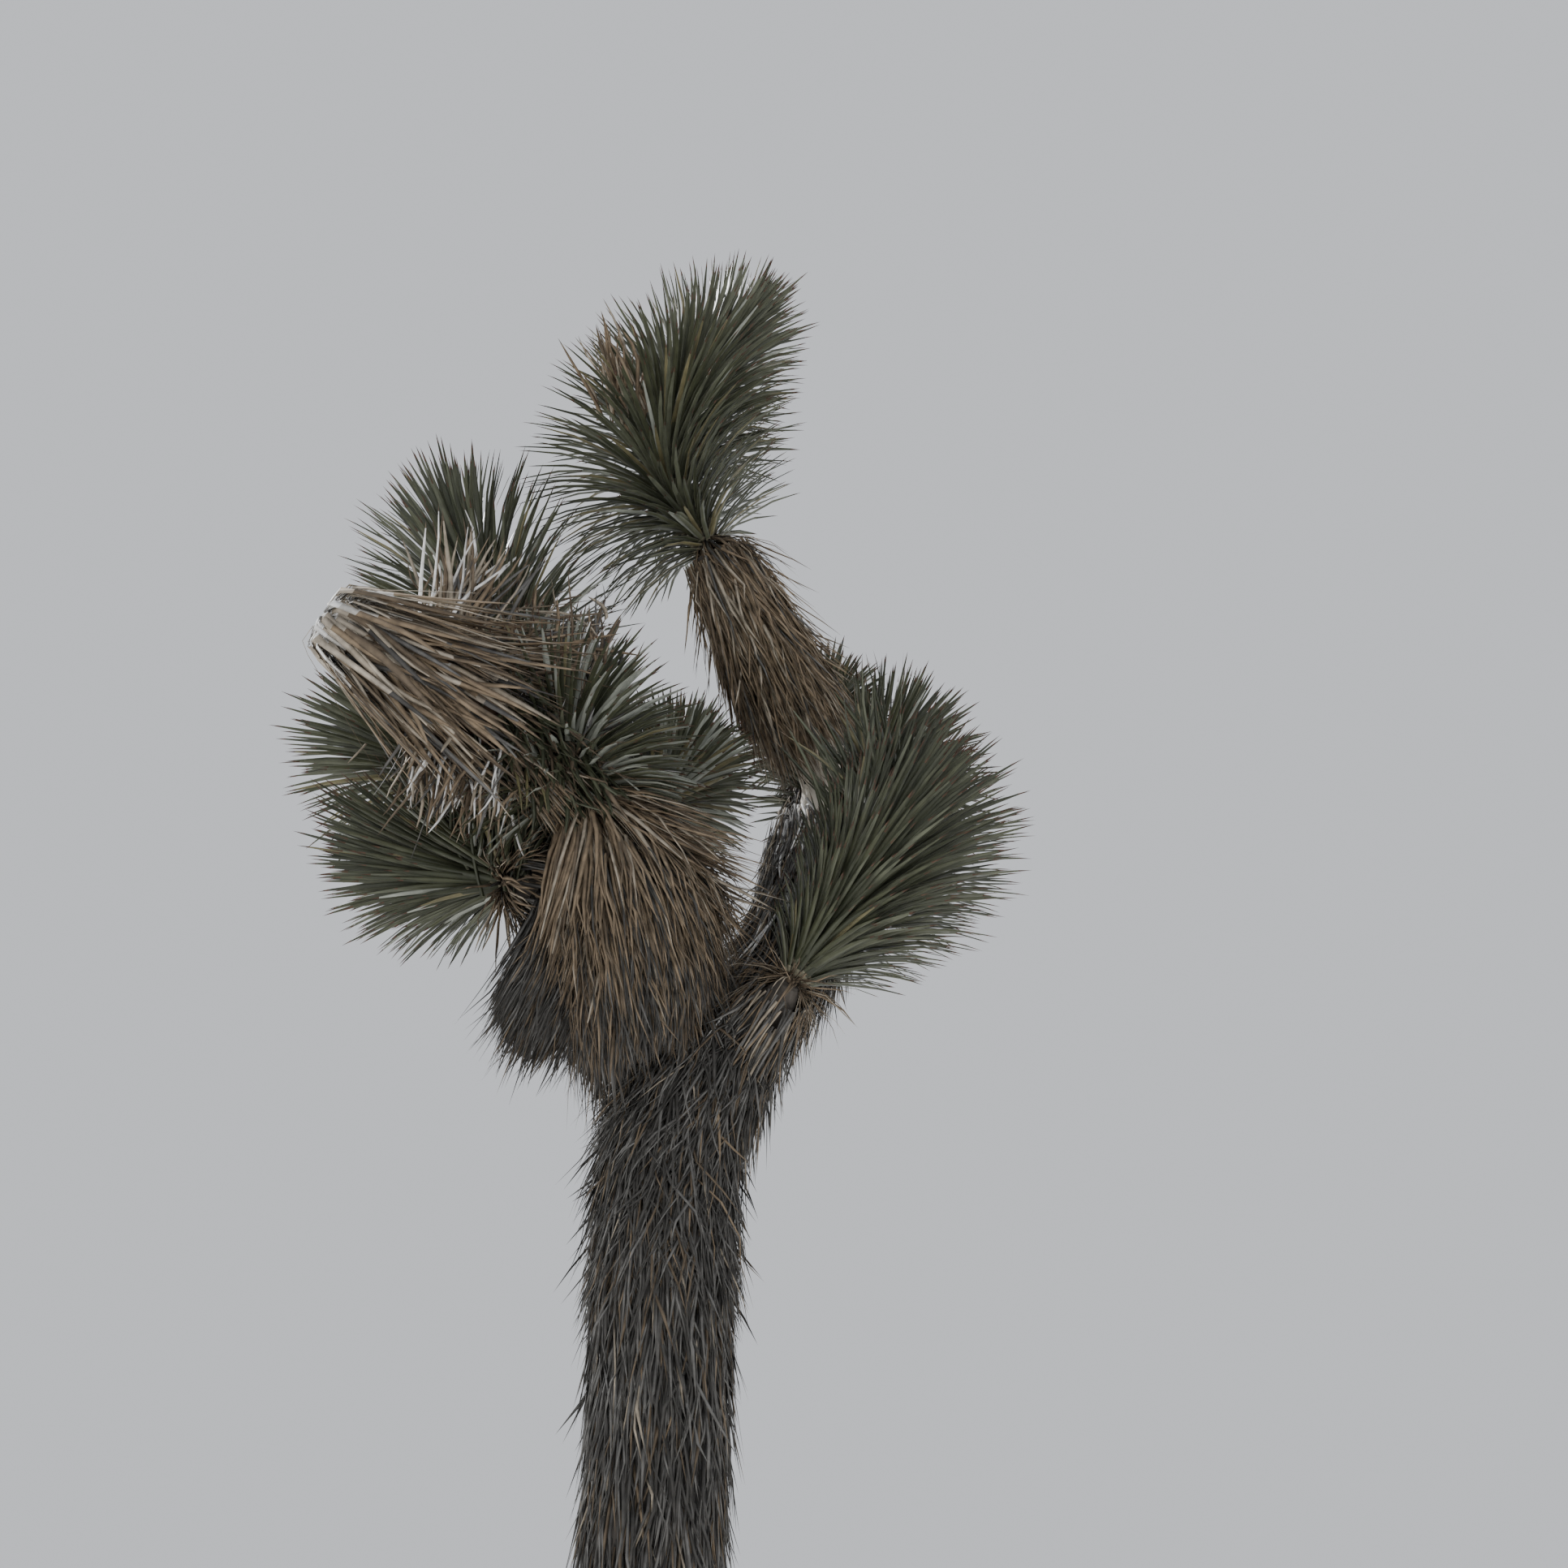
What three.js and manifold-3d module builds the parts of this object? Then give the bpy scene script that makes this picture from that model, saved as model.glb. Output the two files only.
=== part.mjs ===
// A Joshua tree, a yucca that grows as a tree, about 5 m tall. Millimetres, +Z up, and the viewer stands on
// the -Y side. The origin is the middle of the flat cut under the trunk, at ground level.
//
// Every limb wears a thatch of old leaves folded down against it, in tiers with ragged lower edges. A limb is
// one tapering tube that follows a short line of points. Each green head, the dead crown and the two hanging
// skirts are masses: a core on a line of their own, with pointed blades fused to it by one spiral rule.
import * as THREE from "three";
import { mergeVertices } from "three/addons/utils/BufferGeometryUtils.js";
import Module from "manifold-3d";

const wasm = await Module();
wasm.setup();

// Driving dimensions
const GAP = 0.45; // left between two pieces that touch
const FORK = [106, 0, 3254]; // where the trunk divides
const FORK_RADIUS = 120;
const TRUNK_RADIUS = 128; // at breast height, over the thatch
const FLARE = 78; // what the root flare adds to the radius at ground level
const FLARE_HEIGHT = 170; // the flare fades by a factor of e over this height
const ROOT_LOBES = 5;
const LOBE_SHARE = 0.16; // how far the lobes swell and pinch the flare
const BELOW_GROUND = 60; // the trunk is lofted from here, then cut flat at ground level
const TIER_DEPTH = 0.12; // how far a tier's upper edge tucks in, as a share of the radius
const TOOTH_SHARE = 0.35; // how far every other corner of a tier hangs down, as a share of its length
const CORE_STEPS = 6; // rings along a mass's core
const CORE_SIDES = 8;
const WIDEST_AT = 0.3; // where a blade is widest, as a share of its length
const GOLDEN_ANGLE = THREE.MathUtils.degToRad(137.508);
const CLEARANCE = 1.2; // a blade this much fatter must still clear its neighbours
const SHORTER = [1, 0.8, 0.6]; // lengths that a blade tries before it is left out

// Colours of the living and dead leaves
const OLD_THATCH = new THREE.MeshStandardMaterial({ color: 0x5a5147, roughness: 0.95, metalness: 0 });
const BROWN_THATCH = new THREE.MeshStandardMaterial({ color: 0x7a6248, roughness: 0.9, metalness: 0 });
const BLEACHED = new THREE.MeshStandardMaterial({ color: 0xb3a489, roughness: 0.85, metalness: 0 });
const GREEN = new THREE.MeshStandardMaterial({ color: 0x59623c, roughness: 0.6, metalness: 0 });

// Limbs, each from its foot to its tip. A foot lies inside the limb that carries it, which cuts it off there.
// radii are over the thatch, one for each point of the line.
const LIMBS = [
  {
    name: "trunk",
    line: [[0, 0, -BELOW_GROUND], [-14, 10, 1300], [-6, 4, 2450], [8, 0, 3000], [52, 0, 3130], FORK],
    radii: [TRUNK_RADIUS + 8, TRUNK_RADIUS, 124, 130, 134, FORK_RADIUS],
    sides: 14,
    tier: 160,
    flared: true,
    material: OLD_THATCH,
  },
  {
    name: "bough_right",
    line: [[92, -6, 3222], [188, 30, 3359], [236, 80, 3514], [250, 150, 3741]],
    radii: [96, 96, 95, 88],
    material: OLD_THATCH,
  },
  {
    name: "bough_top",
    line: [[252, 148, 3725], [274, 150, 3800], [255, 110, 3913], [150, 0, 4062], [55, -100, 4208]],
    radii: [50, 52, 78, 82, 72],
    material: BROWN_THATCH,
  },
  { name: "bough_spur", line: [[96, 6, 3140], [150, -76, 3180], [204, -160, 3215]], radii: [74, 68, 54] },
  { name: "bough_left", line: [[50, -4, 3130], [-24, -112, 3309], [-115, -190, 3460]], radii: [98, 94, 82] },
  { name: "bough_low", line: [[-50, -126, 3335], [-150, -165, 3385], [-277, -180, 3402]], radii: [68, 66, 54] },
  { name: "bough_front", line: [[-100, -178, 3432], [-135, -218, 3480], [-160, -250, 3529]], radii: [70, 68, 56] },
  { name: "bough_rear", line: [[-100, -176, 3440], [-200, -110, 3600], [-288, -50, 3729]], radii: [66, 62, 58] },
  { name: "bough_inner", line: [[-104, -180, 3440], [-95, -100, 3540], [-62, 0, 3653]], radii: [62, 58, 48] },
  { name: "bough_upper_left", line: [[-276, -58, 3706], [-310, -45, 3820], [-328, -50, 3917]], radii: [54, 52, 44] },
  { name: "bough_far_left", line: [[-270, -54, 3694], [-350, 5, 3740], [-435, 60, 3770]], radii: [54, 50, 44] },
  { name: "bough_outer", line: [[240, 110, 3620], [280, 190, 3720], [323, 250, 3800]], radii: [60, 56, 46] },
  { name: "bough_back", line: [[248, 140, 3690], [256, 290, 3880], [254, 420, 4061]], radii: [56, 50, 40] },
  {
    name: "dead_arm",
    line: [[-146, -230, 3498], [-222, -316, 3542], [-300, -385, 3585]],
    radii: [44, 38, 34],
    material: BLEACHED,
  },
];
const LIMB_SIDES = 10;
const LIMB_TIER = 85;

// Masses, each on a line from where its first blades sprout to where its last ones do. core is its radius at
// both ends of the line and swell is what it gains halfway. stem is how far from the line the blades root,
// and rooted is the stretch with blades, as shares of the line. tilt is the angle in degrees between line and
// blade, at both ends of that stretch.
const LEAF = { width: 26, thickness: 7 };
const STRAW = { width: 25, thickness: 7 };
const MASSES = [
  {
    name: "head_top",
    line: [[55, -100, 4208], [-40, -140, 4340], [-24, -165, 4520], [66, -165, 4700]],
    core: [46, 30],
    swell: 50,
    blades: 80,
    length: 285,
    tilt: [104, 8],
  },
  {
    name: "head_right",
    line: [[204, -160, 3215], [286, -160, 3340], [368, -120, 3520]],
    core: [42, 30],
    swell: 44,
    blades: 80,
    length: 335,
    tilt: [60, 12],
  },
  {
    name: "head_upper_left",
    line: [[-328, -50, 3917], [-384, -64, 4050], [-430, -76, 4178]],
    core: [38, 26],
    swell: 30,
    blades: 50,
    length: 300,
    tilt: [100, 10],
  },
  {
    name: "head_far_left",
    line: [[-435, 60, 3770], [-503, 95, 3840], [-560, 130, 3900]],
    core: [38, 26],
    swell: 30,
    blades: 46,
    length: 290,
    tilt: [108, 10],
  },
  {
    name: "head_low_left",
    line: [[-277, -180, 3402], [-335, -160, 3420], [-395, -135, 3450]],
    core: [40, 26],
    swell: 30,
    blades: 50,
    length: 295,
    tilt: [68, 10],
  },
  {
    name: "head_front",
    line: [[-160, -250, 3529], [-197, -220, 3634], [-246, -160, 3773]],
    core: [44, 26],
    swell: 34,
    blades: 54,
    length: 275,
    tilt: [122, 12],
  },
  {
    name: "head_inner",
    line: [[-62, 0, 3653], [-33, 50, 3745], [-4, 100, 3838]],
    core: [40, 26],
    swell: 32,
    blades: 44,
    length: 212,
    tilt: [118, 10],
  },
  {
    name: "head_outer",
    line: [[323, 250, 3800], [360, 281, 3890], [404, 306, 3976]],
    core: [38, 26],
    swell: 34,
    blades: 44,
    length: 265,
    tilt: [118, 10],
  },
  {
    name: "head_back",
    line: [[254, 420, 4061], [263, 446, 4146], [280, 468, 4226]],
    core: [32, 22],
    swell: 20,
    blades: 32,
    length: 180,
    tilt: [112, 10],
  },
  {
    name: "dead_crown",
    line: [[-572, -550, 3705], [-436, -470, 3640], [-300, -385, 3585]],
    core: [52, 34],
    stem: 36,
    blades: 44,
    length: 400,
    tilt: [30, 12],
    rooted: [0.04, 0.4],
    blade: STRAW,
    material: BLEACHED,
  },
  {
    name: "skirt_front",
    line: [[-104, -206, 3480], [-70, -204, 3350], [-50, -192, 3235], [-56, -170, 3145]],
    core: [62, 84],
    swell: 42,
    stem: 48,
    blades: 54,
    length: 185,
    tilt: [60, 8],
    rooted: [0.05, 0.85],
    blade: STRAW,
    material: BROWN_THATCH,
  },
  {
    name: "skirt_left",
    line: [[-204, -167, 3395], [-196, -170, 3300], [-190, -168, 3200]],
    core: [42, 46],
    swell: 24,
    stem: 32,
    blades: 32,
    length: 165,
    tilt: [42, 8],
    rooted: [0.05, 0.8],
    blade: STRAW,
    material: OLD_THATCH,
  },
];
const STEM = 26; // where a mass gives no stem

const lerp = THREE.MathUtils.lerp;
const vector = (point) => new THREE.Vector3(...point);
const curveThrough = (line) => new THREE.CatmullRomCurve3(line.map(vector), false, "centripetal");

// Numbers from 0 to 1 that repeat from run to run.
function seededRandom(seed) {
  let state = seed;
  return () => {
    state = (state + 0x6d2b79f5) | 0;
    let mixed = Math.imul(state ^ (state >>> 15), 1 | state);
    mixed = (mixed + Math.imul(mixed ^ (mixed >>> 7), 61 | mixed)) ^ mixed;
    return ((mixed ^ (mixed >>> 14)) >>> 0) / 2 ** 32;
  };
}

// A closed mesh as a solid that can be joined and cut.
function solidOf(geometry) {
  const merged = mergeVertices(geometry, 1e-4);
  return new wasm.Manifold(
    new wasm.Mesh({
      numProp: 3,
      vertProperties: merged.getAttribute("position").array,
      triVerts: new Uint32Array(merged.index.array),
    }),
  );
}

// The solid through rings of equally many points, listed from foot to tip and each anticlockwise seen from
// the tip, with a fan over each end.
function loft(rings) {
  const sides = rings[0].length;
  const centre = (ring) => ring.reduce((sum, p) => sum.add(p), new THREE.Vector3()).divideScalar(sides);
  const points = [...rings.flat(), centre(rings[0]), centre(rings.at(-1))];
  const footCentre = points.length - 2;
  const tipCentre = points.length - 1;
  const tipRing = (rings.length - 1) * sides;
  const faces = [];
  for (let side = 0; side < sides; side++) {
    const next = (side + 1) % sides;
    for (let ring = 0; ring < rings.length - 1; ring++) {
      const low = ring * sides;
      const high = low + sides;
      faces.push(low + side, low + next, high + next, low + side, high + next, high + side);
    }
    faces.push(footCentre, next, side, tipCentre, tipRing + side, tipRing + next);
  }
  return solidOf(new THREE.BufferGeometry().setFromPoints(points).setIndex(faces));
}

// A radius that follows a limb's list of radii, given the share of the line's length.
function radiusAlong({ line, radii }) {
  const reach = [0];
  for (let i = 1; i < line.length; i++) reach.push(reach[i - 1] + vector(line[i]).distanceTo(vector(line[i - 1])));
  return (share) => {
    const distance = share * reach.at(-1);
    const leg = Math.max(1, reach.findIndex((r) => r >= distance - 1e-6));
    return lerp(radii[leg - 1], radii[leg], (distance - reach[leg - 1]) / (reach[leg] - reach[leg - 1]));
  };
}

// The root flare's addition to the radius, at a height and at an angle round the trunk.
function flareAt(height, angle) {
  const fade = Math.exp(-Math.max(height, 0) / FLARE_HEIGHT);
  return FLARE * fade * (1 + LOBE_SHARE * fade * Math.cos(ROOT_LOBES * angle));
}

// A ring of points round a line. radiusAt gives each one's radius by its angle, and dropAt how far it hangs
// down towards the foot.
function ringRound(curve, frames, step, share, sides, radiusAt, dropAt = () => 0) {
  const middle = curve.getPointAt(share);
  return Array.from({ length: sides }, (_, side) => {
    const angle = (2 * Math.PI * side) / sides;
    return middle
      .clone()
      .addScaledVector(frames.normals[step], radiusAt(angle) * Math.cos(angle))
      .addScaledVector(frames.binormals[step], radiusAt(angle) * Math.sin(angle))
      .addScaledVector(frames.tangents[step], -dropAt(side));
  });
}

// A limb in tiers of thatch. Each tier is widest at its ragged lower edge and tucks in under the next. A
// plain one has no tiers, and is a little fatter and longer.
function limbSolid(limb, plain = false) {
  const { line, sides = LIMB_SIDES, tier = LIMB_TIER, flared = false } = limb;
  const curve = curveThrough(line);
  const length = curve.getLength();
  const tiers = Math.max(2, Math.round(length / tier));
  const tooth = (TOOTH_SHARE * length) / tiers;
  const frames = curve.computeFrenetFrames(tiers, false);
  const radiusAt = radiusAlong(limb);
  const rings = [];
  for (let step = 0; step <= tiers; step++) {
    const share = step / tiers;
    const height = curve.getPointAt(share).z;
    const edge = (tuck) => (angle) => radiusAt(share) * (1 - tuck) + (flared ? flareAt(height, angle) : 0);
    const toothAt = (side) => (side % 2 && step > 0 ? tooth : 0);
    if (plain) {
      const wider = (angle) => edge(0)(angle) + GAP;
      const longer = () => (step === 0 ? GAP : step === tiers ? -GAP : 0);
      rings.push(ringRound(curve, frames, step, share, sides, wider, longer));
      continue;
    }
    if (step > 0) rings.push(ringRound(curve, frames, step, share, sides, edge(TIER_DEPTH)));
    if (step < tiers) rings.push(ringRound(curve, frames, step, share, sides, edge(0), toothAt));
  }
  const solid = loft(rings);
  return flared ? solid.trimByPlane([0, 0, 1], 0) : solid;
}

// A mass's bare core: a smooth tube along its line.
function coreSolid(mass) {
  const curve = curveThrough(mass.line);
  const frames = curve.computeFrenetFrames(CORE_STEPS, false);
  const rings = Array.from({ length: CORE_STEPS + 1 }, (_, step) => {
    const share = step / CORE_STEPS;
    const radius = lerp(...mass.core, share) + (mass.swell ?? 0) * Math.sin(Math.PI * share);
    return ringRound(curve, frames, step, share, CORE_SIDES, () => radius);
  });
  return loft(rings);
}

// A blade of eight faces, from a point at its root to a point at its tip, widest a third of the way along.
function bladeSolid({ root, direction, across, length, width, thickness }) {
  const up = new THREE.Vector3().crossVectors(direction, across);
  const at = (along, side, rise) =>
    root.clone().addScaledVector(direction, along).addScaledVector(across, side).addScaledVector(up, rise);
  const belly = WIDEST_AT * length;
  const points = [
    at(0, 0, 0),
    at(belly, width / 2, 0),
    at(belly, 0, thickness / 2),
    at(belly, -width / 2, 0),
    at(belly, 0, -thickness / 2),
    at(length, 0, 0),
  ];
  const faces = [1, 2, 3, 4].flatMap((corner) => {
    const next = (corner % 4) + 1;
    return [0, next, corner, 5, corner, next];
  });
  return solidOf(new THREE.BufferGeometry().setFromPoints(points).setIndex(faces));
}

// The blades of a mass, by the spiral rule: each is a golden angle further round the line than the last, and
// tilts from the line by the mass's own angles, with a little seeded jitter.
function* bladesOf(mass, seed) {
  const random = seededRandom(seed);
  const jitter = (amount) => amount * (2 * random() - 1);
  const curve = curveThrough(mass.line);
  const frames = curve.computeFrenetFrames(mass.blades, false);
  const [from, to] = mass.rooted ?? [0.02, 0.98];
  for (let i = 0; i < mass.blades; i++) {
    const order = (i + 0.5) / mass.blades;
    const share = lerp(from, to, order);
    const step = Math.round(share * mass.blades);
    const angle = i * GOLDEN_ANGLE + jitter(0.25);
    const tilt = THREE.MathUtils.degToRad(lerp(...mass.tilt, order) + jitter(7));
    const outward = new THREE.Vector3()
      .addScaledVector(frames.normals[step], Math.cos(angle))
      .addScaledVector(frames.binormals[step], Math.sin(angle));
    const across = new THREE.Vector3().crossVectors(frames.tangents[step], outward);
    const direction = frames.tangents[step].clone().multiplyScalar(Math.cos(tilt)).addScaledVector(outward, Math.sin(tilt));
    const root = curve.getPointAt(share).addScaledVector(outward, mass.stem ?? STEM);
    yield { root, direction, across, length: mass.length * (0.96 + jitter(0.06)), ...(mass.blade ?? LEAF) };
  }
}

// The largest piece of a solid, so that no loose scrap of a cut is left.
function largestPiece(solid) {
  return solid.decompose().reduce((best, piece) => (piece.volume() > best.volume() ? piece : best));
}

// A solid with a skin round it, for cutting a neighbour that then stays clear: itself and six shifted copies.
function withGap(solid) {
  const shifts = [0, 1, 2].flatMap((axis) => [-GAP, GAP].map((shift) => [0, 1, 2].map((a) => (a === axis ? shift : 0))));
  return shifts.reduce((sum, shift) => sum.add(solid.translate(shift)), solid);
}

function boxesMeet(a, b) {
  const one = a.boundingBox();
  const two = b.boundingBox();
  return [0, 1, 2].every((axis) => one.min[axis] <= two.max[axis] && two.min[axis] <= one.max[axis]);
}

const isClear = (solid, others) => others.every((other) => !boxesMeet(solid, other) || solid.intersect(other).isEmpty());
const cutBy = (solid, cutters) => cutters.reduce((left, c) => (boxesMeet(left, c) ? left.subtract(c) : left), solid);

// A mass's core with every blade that clears the pieces round it. A blade in the way of another piece is
// tried shorter, and then left out.
function massSolid(mass, core, others, seed) {
  let solid = core;
  for (const blade of bladesOf(mass, seed)) {
    for (const share of SHORTER) {
      const sized = { ...blade, length: blade.length * share };
      const fatter = bladeSolid({
        ...sized,
        length: sized.length + CLEARANCE,
        width: sized.width + 2 * CLEARANCE,
        thickness: sized.thickness + 2 * CLEARANCE,
      });
      if (!isClear(fatter, others)) continue;
      solid = solid.add(bladeSolid(sized));
      break;
    }
  }
  return largestPiece(solid);
}

// A named mesh of a solid, placed at the foot of its line.
function meshOf({ name, line, material }, solid) {
  const { numProp, vertProperties, triVerts } = solid.getMesh();
  const geometry = new THREE.BufferGeometry();
  geometry.setAttribute("position", new THREE.BufferAttribute(new Float32Array(vertProperties), numProp));
  geometry.setIndex(new THREE.BufferAttribute(new Uint32Array(triVerts), 1));
  const foot = vector(line[0]).setZ(Math.max(line[0][2], 0));
  geometry.translate(-foot.x, -foot.y, -foot.z);
  geometry.computeVertexNormals();
  const mesh = new THREE.Mesh(geometry, material);
  mesh.name = name;
  mesh.position.copy(foot);
  return mesh;
}

const tree = new THREE.Group();

// Limbs are cut by those before them, which carry them.
const limbSolids = [];
const limbCutters = [];
for (const limb of LIMBS) {
  const whole = limbSolid(limb);
  const solid = largestPiece(cutBy(whole, limbCutters));
  limbSolids.push(solid);
  limbCutters.push(limbSolid(limb, true).add(withGap(whole)));
  tree.add(meshOf({ material: OLD_THATCH, ...limb }, solid));
}

// Cores are cut by the limbs and by the cores before them, and blades then keep clear of all of those and of
// the masses that are already finished.
const cores = [];
const coreCutters = [];
for (const mass of MASSES) {
  const whole = coreSolid(mass);
  cores.push(largestPiece(cutBy(whole, [...limbCutters, ...coreCutters])));
  coreCutters.push(withGap(whole));
}
const finished = [];
MASSES.forEach((mass, index) => {
  const waiting = cores.slice(index + 1);
  const solid = massSolid(mass, cores[index], [...limbSolids, ...finished, ...waiting], index + 1);
  finished.push(solid);
  tree.add(meshOf({ material: GREEN, ...mass }, solid));
});

export default tree;
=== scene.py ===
# A joshua tree about 5 m tall, rooted in the ground, seen from its foot looking up into the crown.
# All lengths are metres. +Z is up, and the viewer stands on the -Y side.
import math
import bpy
import bmesh
import numpy as np
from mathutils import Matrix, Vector, noise


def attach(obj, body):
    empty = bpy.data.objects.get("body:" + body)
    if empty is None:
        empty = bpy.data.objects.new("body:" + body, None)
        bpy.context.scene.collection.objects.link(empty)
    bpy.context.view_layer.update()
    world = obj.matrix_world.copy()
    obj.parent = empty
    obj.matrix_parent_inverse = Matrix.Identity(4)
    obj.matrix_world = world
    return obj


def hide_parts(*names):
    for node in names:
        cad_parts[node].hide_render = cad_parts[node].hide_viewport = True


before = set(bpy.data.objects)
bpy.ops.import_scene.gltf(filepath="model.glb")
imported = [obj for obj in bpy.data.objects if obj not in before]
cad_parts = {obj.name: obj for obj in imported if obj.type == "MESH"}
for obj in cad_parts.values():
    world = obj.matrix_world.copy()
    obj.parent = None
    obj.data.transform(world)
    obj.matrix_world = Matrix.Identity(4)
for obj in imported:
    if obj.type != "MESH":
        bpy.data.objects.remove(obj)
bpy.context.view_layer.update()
bpy.ops.object.select_all(action="DESELECT")


# The view: someone of ordinary height stands 3.3 m from the trunk and looks up at the crown, through a
# lens of about normal length.
eye, looking_up = (0.194, -3.27, 1.6), 33
bpy.ops.object.camera_add(location=eye, rotation=(math.radians(90 + looking_up), 0, 0))
view = bpy.context.object
view.name = "view_from_the_ground"
view.data.sensor_fit = "HORIZONTAL"
view.data.sensor_width = 38.13
view.data.lens = 50
bpy.context.scene.camera = view


# The wood: a soft fibrous stem under a thatch of old leaves. It shows as grey corky bark at the foot, where
# the thatch has worn off, and is only glimpsed between the dead leaves higher up.
def smooth_line(points, radii, count):
    points = np.array(points, float)
    ghosts = np.vstack([2 * points[0] - points[1], points, 2 * points[-1] - points[-2]])
    chords = np.linalg.norm(np.diff(points, axis=0), axis=1)
    reach = np.concatenate([[0], np.cumsum(chords)])
    samples = 60
    dense = []
    for leg in range(len(points) - 1):
        a, b, c, d = ghosts[leg:leg + 4]
        ab, bc, cd = (np.sqrt(np.linalg.norm(q - p)) for p, q in ((a, b), (b, c), (c, d)))
        leave = ((b - a) / ab - (c - a) / (ab + bc) + (c - b) / bc) * bc
        arrive = ((c - b) / bc - (d - b) / (bc + cd) + (d - c) / cd) * bc
        t = np.linspace(0, 1, samples, endpoint=leg == len(points) - 2)[:, None]
        square, cube = 3 * (c - b) - 2 * leave - arrive, 2 * (b - c) + leave + arrive
        dense.append(b + t * leave + t**2 * square + t**3 * cube)
    dense = np.vstack(dense)
    walked = np.concatenate([[0], np.cumsum(np.linalg.norm(np.diff(dense, axis=0), axis=1))])
    shares = np.linspace(0, 1, count)
    centres = np.stack([np.interp(shares * walked[-1], walked, dense[:, axis]) for axis in range(3)], 1)
    tangents = np.gradient(centres, axis=0)
    tangents /= np.linalg.norm(tangents, axis=1, keepdims=True)
    return centres, tangents, np.interp(shares * reach[-1], reach, radii)


def model_limb(name, points, radii, steps, roundness):
    centres, _, widths = smooth_line(points, radii, steps)
    bpy.ops.curve.primitive_bezier_curve_add()
    limb = bpy.context.object
    limb.name = name
    limb.data.splines.clear()
    spline = limb.data.splines.new("POLY")
    spline.points.add(steps - 1)
    for point, centre, width in zip(spline.points, centres, widths):
        point.co = (*centre, 1)
        point.radius = width
    limb.data.bevel_depth = 1
    limb.data.bevel_resolution = roundness
    limb.data.use_fill_caps = True
    bpy.ops.object.convert(target="MESH")
    bpy.ops.object.mode_set(mode="EDIT")
    bpy.ops.mesh.select_all(action="SELECT")
    bpy.ops.mesh.remove_doubles(threshold=1e-5)
    bpy.ops.mesh.normals_make_consistent(inside=False)
    bpy.ops.object.mode_set(mode="OBJECT")
    bpy.ops.object.shade_smooth()
    bpy.ops.object.select_all(action="DESELECT")
    return limb


def fissure(limb, depth, across, lengthwise, least_z=-1):
    crest, skin = 0.5, 0.3
    normals = [v.normal.copy() for v in limb.data.vertices]
    for vertex, normal in zip(limb.data.vertices, normals):
        if vertex.co.z <= least_z:
            continue
        place = Vector((vertex.co.x * across, vertex.co.y * across, vertex.co.z * lengthwise))
        ridge = abs(noise.noise(place)) + 0.5 * abs(noise.noise(place * 2.3))
        vertex.co += normal * depth * (min(ridge, crest) - skin)


def new_material(name, colour, roughness, specular=0.35):
    material = bpy.data.materials.new(name)
    material.use_nodes = True
    shader = material.node_tree.nodes["Principled BSDF"]
    shader.inputs["Base Color"].default_value = (*colour, 1)
    shader.inputs["Roughness"].default_value = roughness
    shader.inputs["Specular IOR Level"].default_value = specular
    return material


# Weathering darkens and bleaches a surface in patches, and raises it a little where it is pale. It is one
# node group for bark, thatch and leaves.
weathering = bpy.data.node_groups.new("weathering", "ShaderNodeTree")
inlets = {"Colour": "Color", "Scale": "Float", "Stretch": "Vector", "Dark": "Float", "Light": "Float"}
outlets = {"Colour": "Color", "Height": "Float"}
for way, sockets in (("INPUT", inlets), ("OUTPUT", outlets)):
    for socket, kind in sockets.items():
        weathering.interface.new_socket(socket, in_out=way, socket_type="NodeSocket" + kind)
add, join = weathering.nodes.new, weathering.links.new
entry, way_out = add("NodeGroupInput"), add("NodeGroupOutput")
place, stretched = add("ShaderNodeTexCoord"), add("ShaderNodeVectorMath")
stretched.operation = "MULTIPLY"
blotches, spread, shade = add("ShaderNodeTexNoise"), add("ShaderNodeMapRange"), add("ShaderNodeVectorMath")
blotches.inputs["Detail"].default_value = 4
spread.inputs["From Min"].default_value = 0.3
spread.inputs["From Max"].default_value = 0.7
shade.operation = "SCALE"
join(place.outputs["Object"], stretched.inputs[0])
join(entry.outputs["Stretch"], stretched.inputs[1])
join(stretched.outputs[0], blotches.inputs["Vector"])
join(entry.outputs["Scale"], blotches.inputs["Scale"])
join(blotches.outputs["Fac"], spread.inputs["Value"])
join(entry.outputs["Dark"], spread.inputs["To Min"])
join(entry.outputs["Light"], spread.inputs["To Max"])
join(entry.outputs["Colour"], shade.inputs[0])
join(spread.outputs["Result"], shade.inputs["Scale"])
join(shade.outputs[0], way_out.inputs["Colour"])
join(blotches.outputs["Fac"], way_out.inputs["Height"])


def weather(material, colour, scale, stretch, dark, light, bump):
    nodes, links = material.node_tree.nodes, material.node_tree.links
    group = nodes.new("ShaderNodeGroup")
    group.node_tree = weathering
    group.inputs["Colour"].default_value = (*colour, 1)
    group.inputs["Scale"].default_value = scale
    group.inputs["Stretch"].default_value = stretch
    group.inputs["Dark"].default_value = dark
    group.inputs["Light"].default_value = light
    relief = nodes.new("ShaderNodeBump")
    relief.inputs["Distance"].default_value = bump
    relief.inputs["Strength"].default_value = 0.6
    links.new(group.outputs["Height"], relief.inputs["Height"])
    links.new(group.outputs["Colour"], nodes["Principled BSDF"].inputs["Base Color"])
    links.new(relief.outputs["Normal"], nodes["Principled BSDF"].inputs["Normal"])


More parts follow.
